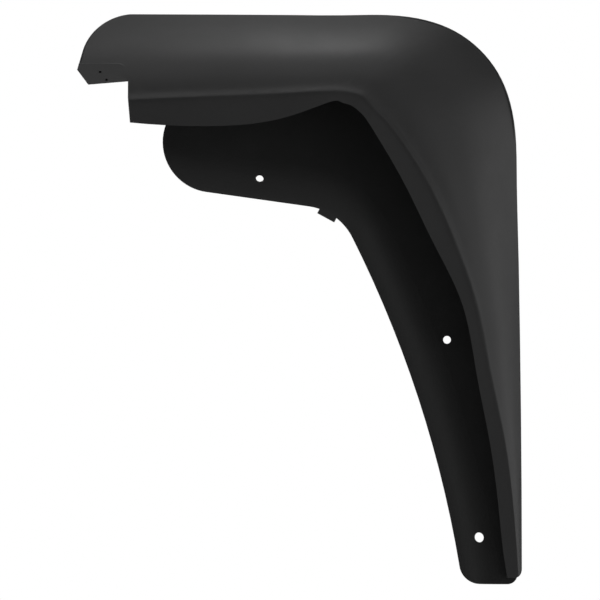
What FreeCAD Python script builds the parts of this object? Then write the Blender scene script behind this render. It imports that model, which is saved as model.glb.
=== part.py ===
import FreeCAD, Part
import math
import os

# Hooded mud flap for one wheel arch, right-hand pattern.
#
# A thin moulded hood stands out over the tyre and follows the arch from its top round the corner
# and down the back.  Behind it a flat web closes the arch and carries three fixing holes; its
# wheel-side border is rolled back against the arch.  Blind rivets join the two along a seam that
# runs just inside the hood's rim, and a soft seal lies along the rim on the body side.
#
# Millimetres.  +X points to the hood's outer corner, +Z up, and -Y towards whoever looks at the
# fitted part.  The origin is the middle fixing hole, on the front face of the web.

# ---- hood, seen from the front ------------------------------------------------------------------
arm_length = 284.3            # straight top rim, from the corner to the hood's free end
arm_rise = 1.4                # how far the top rim climbs over that length
leg_length = 398.0            # back rim, from the corner down to the hood's closed end
leg_lean = 5.6                # how far the back rim leans outwards over that length
leg_bow = 1.4                 # outward bow of the back rim at mid length
corner_radius = 108.0         # outer corner of the rim
rim_beyond_hole = 61.8        # from the middle fixing hole across to the start of the back rim
corner_above_hole = 184.0     # from the middle fixing hole up to the start of the back rim

# ---- hood, from front to back -------------------------------------------------------------------
hood_depth = 90.0             # rim to ridge along the top arm
wall = 3.0                    # moulded wall of the hood
crease_round = 2.2            # softness of the ridge
lip_setback = 0.45            # how far the lip falls back for each millimetre it reaches inwards

# The hood's sections, from its free end round the corner to its closed end.  Each row holds the
# stretch of rim, the place on it (share of the length, or degrees round the corner), the way the
# section points inwards (0 straight across, 90 straight down), the reach from the rim to the
# ridge, the reach of the lip beyond the ridge, and the share of the full depth.
SECTIONS = (
    ("arm", 1.04, 90.0, 82.5, 7.2, 0.96),
    ("arm", 0.61, 90.0, 76.5, 26.0, 0.98),
    ("arm", 0.35, 90.0, 73.0, 21.6, 1.00),
    ("arm", 0.16, 80.5, 71.4, 10.1, 1.00),
    ("corner", 0.0, 58.6, 83.5, 11.1, 1.00),
    ("corner", 30.0, 36.1, 103.5, 13.7, 1.00),
    ("corner", 60.0, 16.5, 116.8, 13.4, 1.00),
    ("corner", 90.0, 0.0, 108.4, 19.0, 1.00),
    ("leg", 0.10, 0.0, 83.6, 21.5, 0.98),
    ("leg", 0.24, 0.0, 58.9, 20.0, 0.93),
    ("leg", 0.37, 0.0, 41.6, 13.2, 0.85),
    ("leg", 0.53, 0.0, 29.3, 12.4, 0.72),
    ("leg", 0.69, 0.0, 16.5, 13.2, 0.55),
    ("leg", 0.85, 0.0, 8.5, 12.8, 0.38),
    ("leg", 0.94, 0.0, 5.5, 11.9, 0.275),
    ("leg", 1.00, 0.0, 3.8, 9.4, 0.14),
)

# Shape of the fascia between rim and ridge: share of the reach, share of the depth.  It leaves
# the rim on a steady slope, turns down to face forwards, and levels out into a shallow valley.
# From there a bead stands up to the ridge; it shrinks where the fascia gets narrow.
FASCIA = ((0.0, 0.0), (0.13, 0.26), (0.28, 0.53), (0.52, 0.81), (0.80, 0.925))
bead_width = 4.2
bead_height = 5.2
bead_full_reach = 70.0        # the bead has its full size where the fascia is at least this wide
RIM_SLANT = 1.1               # the sloping wall is this much thicker measured level at the rim
RIDGE_SHIFT = 0.2             # inside the wall the ridge lies this share of the wall further in

# ---- hood, free end -----------------------------------------------------------------------------
end_height = 66.2             # from the rim down to the low end of the step
end_radius = 47.0             # rounded top corner
end_lean = 14.2               # lean of the end's straight edge below it, in degrees
end_edge_round = 2.2          # rounding of the wall's outer edge along that corner
tip_run = 10.0                # slanted cut under that edge: across
tip_fall = 13.3               # and down
notch_length = 45.3           # step that clears the neighbouring flare: along the hood
notch_slope = 2.9             # rise of the step's top edge over its length
notch_upright = 14.0          # upright part of the step's inner edge
notch_lean = 3.5              # lean of that edge for the next notch_fall down to the lip
notch_fall = 45.0
pad_height = 19.3             # joint pad above the step
pad_corner = 9.0              # its rounded inner top corner
pad_proud = 1.6               # how far it stands out of the fascia
pad_edge_round = 1.4          # rounding of its raised edge
pad_thickness = 3.4
pad_trim = 5.0                # the pad is made this much larger, then trimmed with the free end
pad_hole_radius = 1.2         # blind pilot holes, square to the pad's face
pad_hole_depth = 2.2
pad_holes = ((20.5, 11.3), (26.3, 4.2))    # from the tip and above the low end of the step
closed_corner = 8.0           # rounding at the foot of the back rim

# ---- web ----------------------------------------------------------------------------------------
web_thickness = 3.0
web_inset = 4.0               # the web's edge stays this far inside the hood's rim
web_below_hood = 6.0          # the web's foot reaches below the hood's closed end
roll_width = 34.0             # rolled wheel-side border, seen from the front
roll_radius = 44.0            # front face of the roll
arm_slope = 8.0               # fall of the web's lower edge under the top arm, in degrees
leg_slope = 63.4              # fall of the web's edge where the leg begins, in degrees
elbow_radius = 52.0           # rounding between those two edges
leg_edge_radius = 1049.0      # gentle curve of the leg's inner edge
elbow_across = 97.3           # corner of the two edges, left of the middle hole
elbow_above = 116.5           # and above it
web_end_radius = 45.2         # rounded left end of the web
web_end_inset = 119.7         # centre of that rounding from the hood's free end
web_end_slant = 45.0          # slant of the web's edge from there up to the seam, in degrees
foot_inner_radius = 18.0      # inner corner of the foot
foot_outer_radius = 9.0       # outer corner of the foot
tongue_width = 17.5           # locating tongue at the elbow
tongue_length = 7.9
tongue_root = 1.0             # how far it runs on into the roll
tongue_slope = 28.5           # fall of the web's edge where the tongue stands, in degrees

# ---- fixing holes -------------------------------------------------------------------------------
fixing_hole_radius = 3.5      # arm hole and middle hole
foot_hole_radius = 4.5
arm_hole_along = 46.3         # from the web's rounded end along its lower edge
arm_hole_edge = 18.0          # in from that edge
foot_hole_above = 42.0        # above the bottom of the foot
foot_hole_edge = 21.4         # in from the leg's inner edge

# ---- seam rivets and rim seal -------------------------------------------------------------------
rivet_pitch = 60.0
seam_start_clear = 18.0       # first rivet from where the web reaches the seam
seam_leg_share = 0.68         # last rivet, as a share of the leg
rivet_radius = 1.6
rivet_hole_clear = 0.05
rivet_head_radius = 3.2
rivet_head_height = 1.1
rivet_tail_radius = 2.6
rivet_tail_height = 2.4
mandrel_radius = 0.9
mandrel_head_radius = 1.5
mandrel_head_height = 1.2
mandrel_recess = 0.5          # the snapped end lies this far below the rivet's head
washer_radius = 4.0
washer_thickness = 0.8
seam_margin = 0.5             # flange and web left on each side of the washers
head_clear = 0.5              # gap between the rivets' heads and the hood's wall
seal_clear = 0.4              # gap between the seal and the web's edge
seal_edge = 0.8               # the seal lies this far inside the rim
seal_height = 3.5
seal_foot_gap = 14.0          # the seal stops above the foot

# ---- derived places -----------------------------------------------------------------------------
corner_x = rim_beyond_hole - corner_radius
corner_z = corner_above_hole
rim_top = corner_z + corner_radius
end_x = corner_x - arm_length
end_top = rim_top + arm_rise
hood_foot = corner_z - leg_length
step_z = end_top - end_height
tip_z = step_z + tip_fall
end_turn = math.radians(end_lean)
end_centre_z = end_top - end_radius
end_straight_top = end_centre_z + end_radius * math.sin(end_turn)
end_centre_x = (end_x + (end_straight_top - tip_z) * math.tan(end_turn)
                + end_radius * math.cos(end_turn))
web_foot = hood_foot - web_below_hood
beyond = 2.0 * hood_depth     # tools that cut right through reach this far
web_centre_x = end_x + web_end_inset

# The rivets stand in from the rim until their washers sit on the web and their heads clear the
# hood's wall, where the fascia rises most slowly from the rim.
slowest_rise = max(row[3] / (row[5] * hood_depth) for row in SECTIONS)
wall_at_heads = (RIM_SLANT * wall
                 + (wall + rivet_head_height) * slowest_rise * FASCIA[1][0] / FASCIA[1][1])
rivet_line = max(web_inset + seam_margin + washer_radius,
                 wall_at_heads + head_clear + rivet_head_radius)
flange_width = rivet_line + washer_radius + seam_margin

Y_AXIS = FreeCAD.Vector(0, 1, 0)
TOUCH = 0.02                  # points this close count as meeting


def vec(x, y, z):
    return FreeCAD.Vector(x, y, z)


def rim_point(stretch, place, inset=0.0):
    """A point of the rim, or of the line that runs inset millimetres inside it."""
    if stretch == "arm":
        return vec(corner_x - place * arm_length, 0, rim_top + arm_rise * place - inset)
    if stretch == "corner":
        turn = math.radians(place)
        radius = corner_radius - inset
        return vec(corner_x + radius * math.sin(turn), 0, corner_z + radius * math.cos(turn))
    lean = leg_lean * place + 4.0 * leg_bow * place * (1.0 - place)
    return vec(corner_x + corner_radius + lean - inset, 0, corner_z - place * leg_length)


def rim_edges(inset, arm_share, leg_share):
    """The rim line from a place on the arm, round the corner, to a place on the leg."""
    arm_end = rim_point("arm", arm_share, inset)
    corner_start = rim_point("corner", 0.0, inset)
    corner_middle = rim_point("corner", 45.0, inset)
    leg_start = rim_point("corner", 90.0, inset)
    leg_middle = rim_point("leg", leg_share / 2.0, inset)
    leg_end = rim_point("leg", leg_share, inset)
    return [
        Part.LineSegment(arm_end, corner_start).toShape(),
        Part.Arc(corner_start, corner_middle, leg_start).toShape(),
        Part.Arc(leg_start, leg_middle, leg_end).toShape(),
    ]


def line(start, end):
    return Part.LineSegment(start, end).toShape()


def arc(start, middle, end):
    return Part.Arc(start, middle, end).toShape()


def prism(edges, start_y, end_y):
    """A closed outline, drawn at y = 0, made solid from start_y to end_y."""
    face = Part.Face(Part.Wire(edges))
    face.translate(vec(0, start_y, 0))
    return face.extrude(vec(0, end_y - start_y, 0))


def polygon_edges(points):
    return [line(a, b) for a, b in zip(points, points[1:] + points[:1])]


def disc(centre, direction, radius, start, end):
    """A round bar along direction, from start to end measured from centre."""
    axis = vec(*direction).normalize()
    return Part.makeCylinder(radius, end - start, centre + axis * start, axis)


# ---- hood ---------------------------------------------------------------------------------------

def section_poles(reach, lip, depth, inset=0.0):
    """Control points of one section: inwards from the rim, and forwards.

    The wall's inside is the same curve with inset = wall: it starts a little further in, its
    ridge is lower, and its lip runs parallel to the outer lip.
    """
    fall = math.hypot(1.0, lip_setback)
    rim = RIM_SLANT * inset
    ridge = (reach + RIDGE_SHIFT * inset, depth - inset * (fall + RIDGE_SHIFT * lip_setback))
    lip_end = reach + lip - inset * lip_setback / fall
    poles = [(rim + across * (ridge[0] - rim), forward * ridge[1]) for across, forward in FASCIA]
    size = min(reach / bead_full_reach, 1.0)
    shrink = min(crease_round / math.hypot(bead_width, bead_height), size / 2.0)
    for part in (size, shrink):
        poles.append((ridge[0] - bead_width * part, ridge[1] - bead_height * part))
    run = lip_end - ridge[0]
    for reached in (min(crease_round, run / 4.0), run / 2.0, run):
        poles.append((ridge[0] + reached, ridge[1] - lip_setback * reached))
    return poles


def skin(rows, places):
    """A smooth surface whose sections have these rows of control points."""
    columns = []
    for column in zip(*rows):
        curve = Part.BSplineCurve()
        curve.interpolate(Points=list(column), Parameters=places)
        columns.append(curve)
    poles = [list(row) for row in zip(*[curve.getPoles() for curve in columns])]
    spans = len(columns) - 3
    surface = Part.BSplineSurface()
    surface.buildFromPolesMultsKnots(
        poles,
        columns[0].getMultiplicities(),
        [4] + [1] * (spans - 1) + [4],
        columns[0].getKnots(),
        [float(i) for i in range(spans + 1)],
        False, False, 3, 3)
    return surface


def hood_skins():
    outer_rows = []
    inner_rows = []
    places = [0.0]
    last = None
    for stretch, place, pointing, reach, lip, depth_share in SECTIONS:
        start = rim_point(stretch, place)
        angle = math.radians(pointing)
        inwards = vec(-math.cos(angle), 0, -math.sin(angle))
        poles = section_poles(reach, lip, depth_share * hood_depth)
        inner = section_poles(reach, lip, depth_share * hood_depth, wall)
        outer_rows.append([start + inwards * u - Y_AXIS * v for u, v in poles])
        inner_rows.append([start + inwards * u - Y_AXIS * v for u, v in inner])
        if last is not None:
            places.append(places[-1] + (start - last).Length)
        last = start
    return skin(outer_rows, places), skin(inner_rows, places)


def side_faces(outer, inner):
    """The four narrow faces that join the outer skin to the inner one."""
    u0, u1, v0, v1 = outer.bounds()
    pairs = [(outer.uIso(u), inner.uIso(u)) for u in (u0, u1)]
    pairs += [(outer.vIso(v), inner.vIso(v)) for v in (v0, v1)]
    return [Part.makeRuledSurface(a.toShape(), b.toShape()) for a, b in pairs]


def section_curve(poles):
    """The smooth curve that control points of one section describe."""
    spans = len(poles) - 3
    curve = Part.BSplineCurve()
    curve.buildFromPolesMultsKnots(poles, [4] + [1] * (spans - 1) + [4],
                                   [float(i) for i in range(spans + 1)], False, 3)
    return curve


def closed_end():
    """The wall that shuts the hood's foot, from the fascia and lip back to the seam flange."""
    stretch, place, pointing, reach, lip, share = SECTIONS[-1]
    start = rim_point(stretch, place)
    poles = section_poles(reach, lip, share * hood_depth, wall / 2.0)
    section = section_curve([start - vec(u, v, 0) for u, v in poles]).toShape()
    rim, lip_end = section.Vertexes[0].Point, section.Vertexes[-1].Point
    back = vec(lip_end.x, 0, lip_end.z)
    face = Part.Face(Part.Wire([section, line(lip_end, back), line(back, rim)]))
    return face.extrude(vec(0, 0, wall))


def seam_flange():
    outer = rim_edges(wall / 2.0, SECTIONS[0][1], 1.0)
    inner = rim_edges(flange_width, SECTIONS[0][1], 1.0)
    ends = [line(outer[0].Vertexes[0].Point, inner[0].Vertexes[0].Point),
            line(outer[-1].Vertexes[-1].Point, inner[-1].Vertexes[-1].Point)]
    return prism(Part.__sortEdges__(outer + inner + ends), -wall, 0)


def pad_face():
    """How far forward the pad's face stands at its top, and what it gains per millimetre down."""
    top = pad_forward(step_z + pad_height) + pad_proud
    return top, (pad_forward(step_z) + pad_proud - top) / pad_height


def joint_pad():
    """The flat pad over the step, tilted to lie along the fascia, its raised edge rounded."""
    forward_top, gain = pad_face()
    top = step_z + pad_height
    below = step_z - pad_trim
    front_low = forward_top + gain * (top - below)
    left = end_x - pad_trim
    right = end_x + notch_length
    profile = [vec(left, -forward_top, top), vec(left, -front_low, below),
               vec(left, pad_thickness - front_low, below),
               vec(left, pad_thickness - forward_top, top)]
    slab = Part.Face(Part.Wire(polygon_edges(profile))).extrude(vec(right - left, 0, 0))
    shoulder = pad_corner * (1.0 - math.sqrt(0.5))
    outline = [line(vec(left, 0, below), vec(left, 0, top)),
               line(vec(left, 0, top), vec(right - pad_corner, 0, top)),
               arc(vec(right - pad_corner, 0, top), vec(right - shoulder, 0, top - shoulder),
                   vec(right, 0, top - pad_corner)),
               line(vec(right, 0, top - pad_corner), vec(right, 0, below)),
               line(vec(right, 0, below), vec(left, 0, below))]
    pad = slab.common(prism(outline, -beyond, beyond)).Solids[0]
    face = min(pad.Faces, key=lambda f: f.normalAt(0, 0).y)
    raised = [e for e in face.Edges
              if e.CenterOfMass.x > left + pad_trim / 2.0 and e.CenterOfMass.z > step_z]
    return pad.makeFillet(pad_edge_round, raised)


def pad_hole_tools():
    forward_top, gain = pad_face()
    tools = []
    for across, above in pad_holes:
        forward = forward_top + gain * (pad_height - above)
        centre = vec(end_x + across, -forward, step_z + above)
        tools.append(disc(centre, (0, 1, -gain), pad_hole_radius, -pad_proud, pad_hole_depth))
    return tools


def pad_forward(z):
    """How far forward the fascia stands at height z, near the free end."""
    reach, lip, share = SECTIONS[0][3:]
    curve = section_curve([vec(u, v, 0) for u, v in section_poles(reach, lip, share * hood_depth)])
    below = end_top - z
    level = Part.LineSegment(vec(below, -beyond, 0), vec(below, beyond, 0))
    return curve.intersect(level)[0].Y


def end_corner_point(turn):
    """Point of the free end's rounded corner, turn radians up from level."""
    return vec(end_centre_x - end_radius * math.cos(turn), 0,
               end_centre_z + end_radius * math.sin(turn))


def free_end_cut():
    """Everything outside the free end's outline: rounded corner, slanted tip, step and lip end."""
    middle_turn = (end_turn + math.pi / 2.0) / 2.0
    crown = vec(end_centre_x, 0, end_top)
    corner_middle = end_corner_point(middle_turn)
    corner_end = end_corner_point(end_turn)
    path = [corner_end, vec(end_x, 0, tip_z), vec(end_x + tip_run, 0, step_z),
            vec(end_x + notch_length, 0, step_z + notch_slope)]
    path.append(path[-1] - vec(0, 0, notch_upright))
    path.append(path[-1] + vec(notch_lean, 0, -notch_fall))
    far = end_x - beyond
    around = [path[-1], vec(far, 0, path[-1].z), vec(far, 0, end_top + beyond),
              vec(end_centre_x, 0, end_top + beyond), crown]
    edges = [line(a, b) for a, b in zip(path, path[1:])]
    edges += [line(a, b) for a, b in zip(around, around[1:])]
    edges.append(arc(crown, corner_middle, corner_end))
    return prism(Part.__sortEdges__(edges), -beyond, beyond)


def free_end_edge(body):
    """The wall's outer edge along the free end's rounded corner."""
    centre = vec(end_centre_x, 0, end_centre_z)

    def on_corner(edge):
        spokes = [p - centre for p in edge.discretize(5)]
        return all(abs(math.hypot(s.x, s.z) - end_radius) < TOUCH and s.x < TOUCH and s.z > -TOUCH
                   for s in spokes)

    return max(filter(on_corner, body.Edges), key=lambda edge: edge.Length)


def foot_corner_cut():
    """What the rounding at the foot of the back rim takes off."""
    corner = rim_point("leg", 1.0)
    side = corner + vec(0, 0, closed_corner)
    foot = corner - vec(closed_corner, 0, 0)
    shoulder = closed_corner * (1.0 - math.sqrt(0.5))
    below = corner.z - closed_corner
    right = corner.x + closed_corner
    edges = [arc(side, corner + vec(-shoulder, 0, shoulder), foot),
             line(foot, vec(foot.x, 0, below)), line(vec(foot.x, 0, below), vec(right, 0, below)),
             line(vec(right, 0, below), vec(right, 0, side.z)),
             line(vec(right, 0, side.z), side)]
    return prism(edges, -beyond, beyond)


def hood():
    outer, inner = hood_skins()
    faces = [outer.toShape(), inner.toShape()] + side_faces(outer, inner)
    shell = Part.makeShell(faces)
    shell.sewShape()
    body = Part.makeSolid(shell)
    if body.Volume < 0:
        body.reverse()
    body = body.fuse([seam_flange(), closed_end(), joint_pad()])
    body = body.cut([free_end_cut(), foot_corner_cut()])
    body = body.makeFillet(end_edge_round, [free_end_edge(body)])
    return body.cut(pad_hole_tools() + rivet_holes()).removeSplitter()


# ---- web ----------------------------------------------------------------------------------------

def along(slope):
    """Direction of the web's edge where it falls by slope degrees."""
    return vec(math.cos(math.radians(slope)), 0, -math.sin(math.radians(slope)))


def into(slope):
    """Direction from that edge into the web."""
    return vec(math.sin(math.radians(slope)), 0, math.cos(math.radians(slope)))


elbow_corner = vec(-elbow_across, 0, elbow_above)
elbow_tangent = elbow_radius * math.tan(math.radians(leg_slope - arm_slope) / 2.0)
elbow_start = elbow_corner - along(arm_slope) * elbow_tangent
elbow_end = elbow_corner + along(leg_slope) * elbow_tangent
elbow_centre = elbow_start - into(arm_slope) * elbow_radius
leg_centre = elbow_end - into(leg_slope) * leg_edge_radius
roll_turn = math.asin(roll_width / roll_radius)
roll_drop = roll_radius * (1.0 - math.cos(roll_turn))


def leg_slope_at(z, edge=0.0):
    """Slope of the leg's edge level with a point at height z, edge millimetres into the web."""
    return math.degrees(math.acos((z - leg_centre.z) / (leg_edge_radius + edge)))


def arm_edge_start():
    """Where the web's rounded end meets its lower edge."""
    run = (web_centre_x + web_end_radius * math.sin(math.radians(-arm_slope)) - elbow_corner.x)
    return elbow_corner + along(arm_slope) * (run / math.cos(math.radians(arm_slope)))


def roll_point(edge_point, slope, edge):
    """Front face and forward direction of the web, edge millimetres in from its edge."""
    tilt = math.asin(max(roll_width - edge, 0.0) / roll_radius)
    point = edge_point + into(slope) * edge + Y_AXIS * (roll_radius * (1.0 - math.cos(tilt)))
    forward = into(slope) * -math.sin(tilt) - Y_AXIS * math.cos(tilt)
    return point, forward


def roll_section(edge_point, slope):
    """Section of the rolled border, across the web's edge."""
    inwards = into(slope)
    centre = edge_point + inwards * roll_width + Y_AXIS * roll_radius

    def on_roll(radius, turn):
        return centre - inwards * (radius * math.sin(turn)) - Y_AXIS * (radius * math.cos(turn))

    back = roll_radius - web_thickness
    half = roll_turn / 2.0
    front_edge = arc(on_roll(roll_radius, 0), on_roll(roll_radius, half),
                     on_roll(roll_radius, roll_turn))
    back_edge = arc(on_roll(back, 0), on_roll(back, half), on_roll(back, roll_turn))
    root = line(on_roll(roll_radius, 0), on_roll(back, 0))
    end = line(on_roll(roll_radius, roll_turn), on_roll(back, roll_turn))
    return Part.Face(Part.Wire(Part.__sortEdges__([front_edge, end, back_edge, root])))


def rolled_border():
    """The border in three tangent stretches: under the arm, round the elbow, down the leg."""
    far_start = arm_edge_start() - along(arm_slope) * (2.0 * web_end_radius)
    under_arm = roll_section(far_start, arm_slope).extrude(elbow_start - far_start)
    round_elbow = roll_section(elbow_start, arm_slope).revolve(
        elbow_centre, Y_AXIS, leg_slope - arm_slope)
    end_slope = leg_slope_at(web_foot - roll_width)
    down_leg = roll_section(elbow_end, leg_slope).revolve(
        leg_centre, Y_AXIS, end_slope - leg_slope)
    return [under_arm, round_elbow, down_leg]


def flat_web():
    """The flat of the web, out past the rim on every other side."""
    far_start = arm_edge_start() - along(arm_slope) * (2.0 * web_end_radius)
    a = far_start + into(arm_slope) * roll_width
    b = elbow_start + into(arm_slope) * roll_width
    c = elbow_end + into(leg_slope) * roll_width
    end_slope = leg_slope_at(web_foot - roll_width)
    middle_elbow = (arm_slope + leg_slope) / 2.0
    middle_leg = (leg_slope + end_slope) / 2.0
    d = leg_centre + into(end_slope) * (leg_edge_radius + roll_width)
    right = corner_x + 2.0 * corner_radius
    top = rim_top + corner_radius
    edges = [line(a, b),
             arc(b, elbow_centre + into(middle_elbow) * (elbow_radius + roll_width), c),
             arc(c, leg_centre + into(middle_leg) * (leg_edge_radius + roll_width), d),
             line(d, vec(right, 0, d.z)), line(vec(right, 0, d.z), vec(right, 0, top)),
             line(vec(right, 0, top), vec(a.x, 0, top)), line(vec(a.x, 0, top), a)]
    return prism(edges, 0, web_thickness)


def seam_reach():
    """Share of the arm at which the web's slanted end meets the seam."""
    centre_z = (arm_edge_start() + into(arm_slope) * web_end_radius).z
    slant = math.radians(web_end_slant)
    lift = rim_top - web_inset - centre_z - web_end_radius * math.cos(slant)
    meet_x = web_centre_x - web_end_radius * math.sin(slant) + lift / math.tan(slant)
    return (corner_x - meet_x) / arm_length


def web_outline():
    """Everything the web may fill: its rounded end, slant, seam side and foot."""
    start = arm_edge_start()
    centre = start + into(arm_slope) * web_end_radius
    slant = math.radians(web_end_slant)
    level = math.pi - math.radians(arm_slope)

    def on_end(turn):
        return centre + vec(-math.sin(turn), 0, math.cos(turn)) * web_end_radius

    shoulder = on_end(slant)
    foot_rounding = (corner_z - web_foot - foot_outer_radius) / leg_length
    seam = rim_edges(web_inset, seam_reach(), foot_rounding)
    seam_start = seam[0].Vertexes[0].Point
    seam_end = seam[-1].Vertexes[-1].Point
    below_arm = start - into(arm_slope) * elbow_radius
    edges = [arc(start, on_end((slant + level) / 2.0), shoulder), line(shoulder, seam_start)]
    edges += seam + foot_edges(seam_end)
    last = edges[-1].Vertexes[-1].Point
    edges += [line(last, vec(end_x, 0, last.z)),
              line(vec(end_x, 0, last.z), vec(end_x, 0, below_arm.z)),
              line(vec(end_x, 0, below_arm.z), below_arm), line(below_arm, start)]
    return prism(edges, -beyond, beyond)


def foot_edges(out_side):
    """The foot from the seam side to the leg's edge: two rounded corners and a level bottom."""
    outer = foot_outer_radius
    inner = foot_inner_radius
    out_bottom = vec(out_side.x - outer, 0, web_foot)
    diagonal = vec(math.sqrt(0.5), 0, -math.sqrt(0.5))
    out_middle = vec(out_bottom.x, 0, out_side.z) + diagonal * outer
    slope = leg_slope_at(web_foot + inner, inner)
    centre = leg_centre + into(slope) * (leg_edge_radius + inner)
    in_bottom = vec(centre.x, 0, web_foot)
    in_side = centre - into(slope) * inner
    in_middle = centre - (into(slope) + vec(0, 0, 1)).normalize() * inner
    return [arc(out_side, out_middle, out_bottom), line(out_bottom, in_bottom),
            arc(in_bottom, in_middle, in_side)]


def tongue():
    """Locating tongue, running on from the end of the roll at the middle of the elbow."""
    slope = tongue_slope
    root = elbow_centre + into(slope) * elbow_radius + Y_AXIS * roll_drop
    outwards = into(slope) * -math.cos(roll_turn) + Y_AXIS * math.sin(roll_turn)
    backwards = into(slope) * math.sin(roll_turn) + Y_AXIS * math.cos(roll_turn)
    side = along(slope) * (tongue_width / 2.0)
    start = root - outwards * tongue_root
    end = root + outwards * tongue_length
    corners = [start - side, start + side, end + side, end - side]
    return Part.Face(Part.Wire(polygon_edges(corners))).extrude(backwards * web_thickness)


def fixing_holes():
    """Centre, forward direction and radius of each fixing hole."""
    arm_edge = arm_edge_start() + along(arm_slope) * arm_hole_along
    arm_hole = roll_point(arm_edge, arm_slope, arm_hole_edge)
    middle_edge = leg_centre.Length - leg_edge_radius
    slope = leg_slope_at(0.0, middle_edge)
    middle_hole = roll_point(leg_centre + into(slope) * leg_edge_radius, slope, middle_edge)
    slope = leg_slope_at(web_foot + foot_hole_above, foot_hole_edge)
    foot_hole = roll_point(leg_centre + into(slope) * leg_edge_radius, slope, foot_hole_edge)
    return [arm_hole + (fixing_hole_radius,), middle_hole + (fixing_hole_radius,),
            foot_hole + (foot_hole_radius,)]


def web():
    body = flat_web().fuse(rolled_border())
    body = body.common(web_outline()).fuse(tongue())
    for centre, forward, radius in fixing_holes():
        body = body.cut(disc(centre, tuple(forward), radius, -3.0 * web_thickness, web_thickness))
    return body.cut(rivet_holes()).removeSplitter()


# ---- seam rivets and rim seal -------------------------------------------------------------------

def rivet_places():
    """Rivet centres, one pitch apart along the seam from the web's slanted end."""
    arm_run = seam_reach() * arm_length - seam_start_clear
    bend = math.pi / 2.0 * (corner_radius - rivet_line)
    leg_run = seam_leg_share * leg_length
    count = int((arm_run + bend + leg_run) / rivet_pitch) + 1
    places = []
    for i in range(count):
        run = i * rivet_pitch
        if run < arm_run:
            places.append(rim_point("arm", (arm_run - run) / arm_length, rivet_line))
        elif run < arm_run + bend:
            places.append(rim_point("corner", 90.0 * (run - arm_run) / bend, rivet_line))
        else:
            places.append(rim_point("leg", (run - arm_run - bend) / leg_length, rivet_line))
    return places


def rivet_holes():
    radius = rivet_radius + rivet_hole_clear
    return [disc(p, (0, 1, 0), radius, -2.0 * wall, 2.0 * web_thickness) for p in rivet_places()]


def rivet(place):
    """Rivet body: head in front of the flange, tail behind the washer."""
    head = disc(place, (0, 1, 0), rivet_head_radius, -wall - rivet_head_height, -wall)
    tail_start = web_thickness + washer_thickness
    tail_end = tail_start + rivet_tail_height
    shank = disc(place, (0, 1, 0), rivet_radius, -wall, tail_start)
    tail = disc(place, (0, 1, 0), rivet_tail_radius, tail_start, tail_end)
    bore = disc(place, (0, 1, 0), mandrel_radius, -beyond, beyond)
    return head.fuse([shank, tail]).removeSplitter().cut(bore)


def mandrel(place):
    """What is left of the pulled pin: a stub through the rivet and its head behind the tail."""
    tail_end = web_thickness + washer_thickness + rivet_tail_height
    front = -wall - rivet_head_height + mandrel_recess
    stub = disc(place, (0, 1, 0), mandrel_radius, front, tail_end)
    head = disc(place, (0, 1, 0), mandrel_head_radius, tail_end, tail_end + mandrel_head_height)
    return stub.fuse(head).removeSplitter()


def washer(place):
    ring = disc(place, (0, 1, 0), washer_radius, web_thickness, web_thickness + washer_thickness)
    return ring.cut(disc(place, (0, 1, 0), rivet_radius + rivet_hole_clear, 0, beyond))


def seal():
    """Soft strip on the back of the seam flange, between the rim and the web's edge."""
    arm_share = (corner_x - end_centre_x) / arm_length
    leg_share = 1.0 - seal_foot_gap / leg_length
    outer = rim_edges(seal_edge, arm_share, leg_share)
    inner = rim_edges(web_inset - seal_clear, arm_share, leg_share)
    ends = [line(outer[0].Vertexes[0].Point, inner[0].Vertexes[0].Point),
            line(outer[-1].Vertexes[-1].Point, inner[-1].Vertexes[-1].Point)]
    return prism(Part.__sortEdges__(outer + inner + ends), 0, seal_height)


def write(name, shape):
    if not shape.isValid():
        raise ValueError(name + " is not a valid shape")
    shape.exportStep("parts/" + name + ".step")
    box = shape.BoundBox
    print(name, len(shape.Solids), "solids", round(shape.Volume), "mm3", box)


os.makedirs("parts", exist_ok=True)
write("hood_shell", hood())
write("mounting_web", web())
write("rim_seal", seal())
write("seam_rivets", Part.makeCompound([rivet(p) for p in rivet_places()]))
write("rivet_mandrels", Part.makeCompound([mandrel(p) for p in rivet_places()]))
write("rivet_washers", Part.makeCompound([washer(p) for p in rivet_places()]))
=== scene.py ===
import math

import bpy
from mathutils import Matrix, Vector


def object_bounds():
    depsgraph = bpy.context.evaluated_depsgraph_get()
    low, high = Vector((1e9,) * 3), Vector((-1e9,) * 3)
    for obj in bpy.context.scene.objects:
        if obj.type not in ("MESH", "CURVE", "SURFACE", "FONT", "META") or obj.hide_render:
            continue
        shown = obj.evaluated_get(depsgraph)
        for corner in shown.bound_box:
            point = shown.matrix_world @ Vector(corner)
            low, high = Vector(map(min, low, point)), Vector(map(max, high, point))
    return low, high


# Studio picture of a black moulded mud flap, hanging free in front of white.  Metres, in the
# frame's axes: +X points to the hood's outer corner, +Z up, and the camera looks along +Y.

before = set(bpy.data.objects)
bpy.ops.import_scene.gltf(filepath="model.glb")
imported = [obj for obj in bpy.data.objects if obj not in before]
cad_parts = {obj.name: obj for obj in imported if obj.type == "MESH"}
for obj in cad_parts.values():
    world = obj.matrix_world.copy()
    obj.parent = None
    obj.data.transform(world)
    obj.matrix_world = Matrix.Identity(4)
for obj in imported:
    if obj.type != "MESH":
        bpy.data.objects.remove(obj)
cad_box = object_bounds()
low, high = cad_box
centre = (low + high) / 2.0
SPAN = max(high - low)

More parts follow.
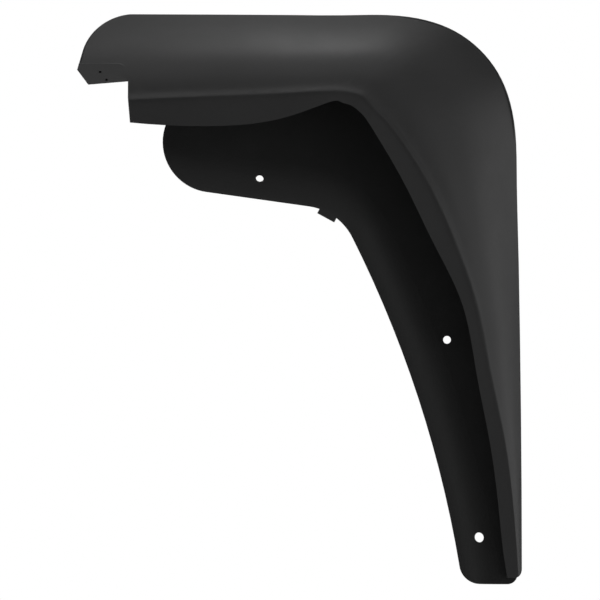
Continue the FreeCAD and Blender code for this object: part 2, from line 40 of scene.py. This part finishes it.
CAMERA_DISTANCE = 6.0
CAMERA_DROP = 0.0007          # the camera aims this far below the part's middle
CAMERA_LEFT = 0.0008          # and this far to the left of it
CAMERA_REACH = 100.0          # nothing beyond this is drawn
SENSOR_WIDTH = 36.0           # millimetres
PICTURE_WIDTH = 1.0525 * SPAN
FLOOR_DROP = 0.35             # from the part's lowest point down to the floor
FLOOR_SIZE = 9.0
FLOOR_DARK = (0.78, 0.78, 0.78)
FLOOR_LIGHT = (0.84, 0.84, 0.84)
FLOOR_ROUGHNESS = 0.8
SEEN_WHITE = 1.0              # brightness of the surroundings to the camera
EVEN_LIGHT = 0.02             # and as light that falls on the part
WHITE = (1.0, 1.0, 1.0, 1.0)


# ---- materials ----------------------------------------------------------------------------------

DUST_BRIGHTER = 3.2           # dust specks against the plastic under them
FLOW_DEPTH = 0.0012           # long waves of the moulded surface
PORES_SHARE = 0.3             # fine pores against the depth of the grain
RUBBER_PORE_DEPTH = 0.00012   # pores of the seal
DULL_METAL = 0.72             # duller clouds against the bright metal
SCRATCH_DEPTH = 0.00004       # handling marks on the rivets, mandrels and washers
SCRATCH_STRETCH = (1.0, 0.08, 1.0)    # they run along the rivets


def nodes_of(name):
    """A fresh node material, with its node tree, its shader and the object's own coordinates."""
    material = bpy.data.materials.new(name)
    material.use_nodes = True
    tree = material.node_tree
    shader = tree.nodes["Principled BSDF"]
    place = tree.nodes.new("ShaderNodeTexCoord").outputs["Object"]
    return material, tree, shader, place


def noise(tree, place, scale, detail=4.0, roughness=0.5, distortion=0.0):
    """Smooth noise; scale is its number of blobs in a metre."""
    node = tree.nodes.new("ShaderNodeTexNoise")
    node.inputs["Scale"].default_value = scale
    node.inputs["Detail"].default_value = detail
    node.inputs["Roughness"].default_value = roughness
    node.inputs["Distortion"].default_value = distortion
    tree.links.new(place, node.inputs["Vector"])
    return node.outputs["Fac"]


def cells(tree, place, scale, smoothness=0.35):
    """Distance to the nearest of scattered points: the pebbles of a moulded grain."""
    node = tree.nodes.new("ShaderNodeTexVoronoi")
    node.feature = "SMOOTH_F1"
    node.inputs["Scale"].default_value = scale
    node.inputs["Smoothness"].default_value = smoothness
    tree.links.new(place, node.inputs["Vector"])
    return node.outputs["Distance"]


def spread(tree, value, low_in, high_in, low_out, high_out):
    """value, remapped and held inside the range."""
    node = tree.nodes.new("ShaderNodeMapRange")
    for name, number in (("From Min", low_in), ("From Max", high_in),
                         ("To Min", low_out), ("To Max", high_out)):
        node.inputs[name].default_value = number
    tree.links.new(value, node.inputs["Value"])
    return node.outputs["Result"]


def math_node(tree, operation, a, b):
    """Sum or product of two values, each a number or another node's output."""
    node = tree.nodes.new("ShaderNodeMath")
    node.operation = operation
    for socket, value in zip(node.inputs, (a, b)):
        if isinstance(value, float):
            socket.default_value = value
        else:
            tree.links.new(value, socket)
    return node.outputs[0]


def mix_colour(tree, factor, first, second):
    """From the first colour to the second; each is plain numbers or another node's output."""
    node = tree.nodes.new("ShaderNodeMix")
    node.data_type = "RGBA"
    tree.links.new(factor, node.inputs["Factor"])
    for name, colour in (("A", first), ("B", second)):
        socket = [s for s in node.inputs if s.name == name and s.type == "RGBA"][0]
        if isinstance(colour, tuple):
            socket.default_value = colour + (1.0,)
        else:
            tree.links.new(colour, socket)
    return [s for s in node.outputs if s.type == "RGBA"][0]


def camera_ray_mix(tree, otherwise, seen, output):
    """Shows the camera one shader and lets another do the lighting."""
    rays = tree.nodes.new("ShaderNodeLightPath")
    pick = tree.nodes.new("ShaderNodeMixShader")
    tree.links.new(rays.outputs["Is Camera Ray"], pick.inputs[0])
    tree.links.new(otherwise.outputs[0], pick.inputs[1])
    tree.links.new(seen.outputs[0], pick.inputs[2])
    tree.links.new(pick.outputs[0], output.inputs["Surface"])


def bump(tree, shader, heights):
    """Stacks height fields, each (value, distance in metres, strength), under the shader."""
    normal = None
    for value, distance, strength in heights:
        node = tree.nodes.new("ShaderNodeBump")
        node.inputs["Distance"].default_value = distance
        node.inputs["Strength"].default_value = strength
        tree.links.new(value, node.inputs["Height"])
        if normal is not None:
            tree.links.new(normal, node.inputs["Normal"])
        normal = node.outputs["Normal"]
    tree.links.new(normal, shader.inputs["Normal"])


def moulded_plastic(name, dark, light, roughness, specular, grain_size, grain_depth):
    """Black moulded plastic: pebble grain, faint flow clouding, rubbed patches and fine dust."""
    material, tree, shader, place = nodes_of(name)
    flow = noise(tree, place, scale=9.0, detail=3.0, roughness=0.45, distortion=0.6)
    cloud = noise(tree, place, scale=38.0, roughness=0.55)
    dust = noise(tree, place, scale=900.0, detail=2.0, roughness=0.7)
    pebbles = cells(tree, place, 1.0 / grain_size)
    pores = noise(tree, place, scale=2600.0, detail=2.0, roughness=0.6)

    shade = math_node(tree, "ADD", math_node(tree, "MULTIPLY", cloud, 0.35),
                      math_node(tree, "MULTIPLY", flow, 0.65))
    base = mix_colour(tree, spread(tree, shade, 0.35, 0.65, 0.0, 1.0), dark, light)
    specks = spread(tree, dust, 0.70, 0.80, 0.0, 0.35)
    dusty = tuple(DUST_BRIGHTER * c for c in light)
    tree.links.new(mix_colour(tree, specks, base, dusty), shader.inputs["Base Color"])

    rubbed = math_node(tree, "ADD", flow, math_node(tree, "MULTIPLY", cloud, 0.5))
    tree.links.new(spread(tree, rubbed, 0.55, 0.95, *roughness), shader.inputs["Roughness"])
    shader.inputs["Specular IOR Level"].default_value = specular
    bump(tree, shader, [(flow, FLOW_DEPTH, 0.10), (pebbles, grain_depth, 0.55),
                        (pores, grain_depth * PORES_SHARE, 0.35)])
    return material


def rubber(name, dark, light):
    """Extruded rubber: dull, a little bloom, fine pores."""
    material, tree, shader, place = nodes_of(name)
    bloom = noise(tree, place, scale=60.0, roughness=0.6)
    pores = noise(tree, place, scale=1800.0, detail=3.0, roughness=0.7)
    base = mix_colour(tree, spread(tree, bloom, 0.35, 0.7, 0.0, 1.0), dark, light)
    tree.links.new(base, shader.inputs["Base Color"])
    tree.links.new(spread(tree, bloom, 0.3, 0.7, 0.62, 0.85), shader.inputs["Roughness"])
    bump(tree, shader, [(pores, RUBBER_PORE_DEPTH, 0.6)])
    return material


def metal(name, colour, roughness, scratch_scale):
    """Bare or plated metal: brushed by handling, with duller clouds."""
    material, tree, shader, place = nodes_of(name)
    clouds = noise(tree, place, scale=420.0, roughness=0.6)
    stretched = tree.nodes.new("ShaderNodeMapping")
    stretched.inputs["Scale"].default_value = SCRATCH_STRETCH
    tree.links.new(place, stretched.inputs["Vector"])
    scratches = noise(tree, stretched.outputs["Vector"], scratch_scale, detail=3.0, roughness=0.7)
    dull = tuple(DULL_METAL * c for c in colour)
    base = mix_colour(tree, spread(tree, clouds, 0.35, 0.68, 0.0, 1.0), dull, colour)
    tree.links.new(base, shader.inputs["Base Color"])
    bright, cloudy = roughness
    tree.links.new(spread(tree, clouds, 0.3, 0.7, cloudy, bright), shader.inputs["Roughness"])
    shader.inputs["Metallic"].default_value = 1.0
    bump(tree, shader, [(scratches, SCRATCH_DEPTH, 0.5)])
    return material


FINISHES = {
    "hood_shell": moulded_plastic(
        "hood_plastic", dark=(0.0140, 0.0140, 0.0142), light=(0.0190, 0.0190, 0.0192),
        roughness=(0.46, 0.55), specular=0.5, grain_size=0.00075, grain_depth=0.00006),
    # The web is the hood's own plastic with its colour made darker: painted shade for the shadow
    # the hood casts on the web set deep behind it.
    "mounting_web": moulded_plastic(
        "web_plastic", dark=(0.0058, 0.0060, 0.0060), light=(0.0080, 0.0082, 0.0082),
        roughness=(0.44, 0.54), specular=0.4, grain_size=0.0009, grain_depth=0.00007),
    "rim_seal": rubber("seal_rubber", dark=(0.012, 0.012, 0.012), light=(0.030, 0.030, 0.031)),
    "seam_rivets": metal("rivet_aluminium", (0.66, 0.66, 0.67), (0.34, 0.5), 2400.0),
    "rivet_mandrels": metal("mandrel_steel", (0.47, 0.47, 0.48), (0.3, 0.48), 3000.0),
    "rivet_washers": metal("washer_zinc", (0.56, 0.57, 0.58), (0.32, 0.5), 2600.0),
}

for node_name, finish in FINISHES.items():
    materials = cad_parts[node_name].data.materials
    materials.clear()
    materials.append(finish)


# ---- studio -------------------------------------------------------------------------------------

def floor():
    """Pale floor, well below the hanging part: evenly bright to the camera, matt to the lights."""
    bpy.ops.mesh.primitive_plane_add(
        size=FLOOR_SIZE, location=(centre.x, centre.y, low.z - FLOOR_DROP))
    plane = bpy.context.object
    plane.name = "floor"
    material, tree, shader, place = nodes_of("floor_paint")
    tone = noise(tree, place, scale=3.0, detail=3.0)
    paint = mix_colour(tree, tone, FLOOR_DARK, FLOOR_LIGHT)
    tree.links.new(paint, shader.inputs["Base Color"])
    shader.inputs["Roughness"].default_value = FLOOR_ROUGHNESS
    glow = tree.nodes.new("ShaderNodeEmission")
    tree.links.new(paint, glow.inputs["Color"])
    camera_ray_mix(tree, shader, glow, tree.nodes["Material Output"])
    material.cycles.emission_sampling = "NONE"
    plane.data.materials.append(material)


def softbox(name, offset, width, height, power):
    """A rectangular soft light at an offset from the part's middle, aimed back at it."""
    light = bpy.data.lights.new(name, "AREA")
    light.shape = "RECTANGLE"
    light.size = width
    light.size_y = height
    light.energy = power
    lamp = bpy.data.objects.new(name, light)
    bpy.context.scene.collection.objects.link(lamp)
    lamp.location = centre + Vector(offset)
    lamp.rotation_mode = "QUATERNION"
    lamp.rotation_quaternion = (-Vector(offset)).to_track_quat("-Z", "Y")
    lamp.visible_camera = False


def white_surroundings():
    """White behind the part; a much dimmer even light falls on it from all round."""
    world = bpy.data.worlds.new("studio")
    world.use_nodes = True
    bpy.context.scene.world = world
    tree = world.node_tree
    tree.nodes.clear()
    backgrounds = []
    for strength in (EVEN_LIGHT, SEEN_WHITE):
        node = tree.nodes.new("ShaderNodeBackground")
        node.inputs["Color"].default_value = WHITE
        node.inputs["Strength"].default_value = strength
        backgrounds.append(node)
    camera_ray_mix(tree, *backgrounds, tree.nodes.new("ShaderNodeOutputWorld"))


def camera():
    """A long lens, level, square to the web."""
    data = bpy.data.cameras.new("camera")
    data.sensor_width = SENSOR_WIDTH
    data.lens = SENSOR_WIDTH * CAMERA_DISTANCE / PICTURE_WIDTH
    data.clip_end = CAMERA_REACH
    eye = bpy.data.objects.new("camera", data)
    bpy.context.scene.collection.objects.link(eye)
    eye.location = (centre.x - CAMERA_LEFT, -CAMERA_DISTANCE, centre.z - CAMERA_DROP)
    eye.rotation_euler = (math.radians(90.0), 0.0, 0.0)
    bpy.context.scene.camera = eye


# Each soft light: its place from the part's middle, its width and height, and its power in watts.
# Most of them stand above and to the right, so the web stays darker than the hood.
SOFTBOXES = {
    "top_spot": ((0.01, 0.10, 0.66), 0.22, 0.22, 0.40),
    "top_back": ((0.0, 0.75, 1.25), 1.2, 0.8, 1.0),
    "top": ((0.0, 0.0, 1.45), 1.0, 0.9, 2.4),
    "top_front": ((0.0, -0.9, 1.2), 1.3, 1.0, 4.4),
    "top_right": ((0.9, 0.0, 1.1), 1.0, 0.9, 0.9),
    "right_back": ((1.25, 0.75, 0.0), 0.9, 1.2, 1.8),
    "right": ((1.45, 0.0, 0.0), 1.0, 1.2, 3.9),
    "right_front": ((1.1, -0.95, 0.0), 1.0, 1.2, 4.6),
    "front": ((0.0, -1.7, 0.1), 1.2, 1.2, 0.4),
    "left_front": ((-1.3, -0.6, 0.25), 0.9, 1.1, 4.6),
    "left_low": ((-1.0, -0.95, -0.5), 0.9, 0.9, 0.4),
    "behind": ((-0.5, 1.8, 0.1), 1.2, 1.2, 9.0),
}

floor()
white_surroundings()
for light_name, settings in SOFTBOXES.items():
    softbox(light_name, *settings)
camera()
bpy.context.scene.view_settings.view_transform = "Standard"
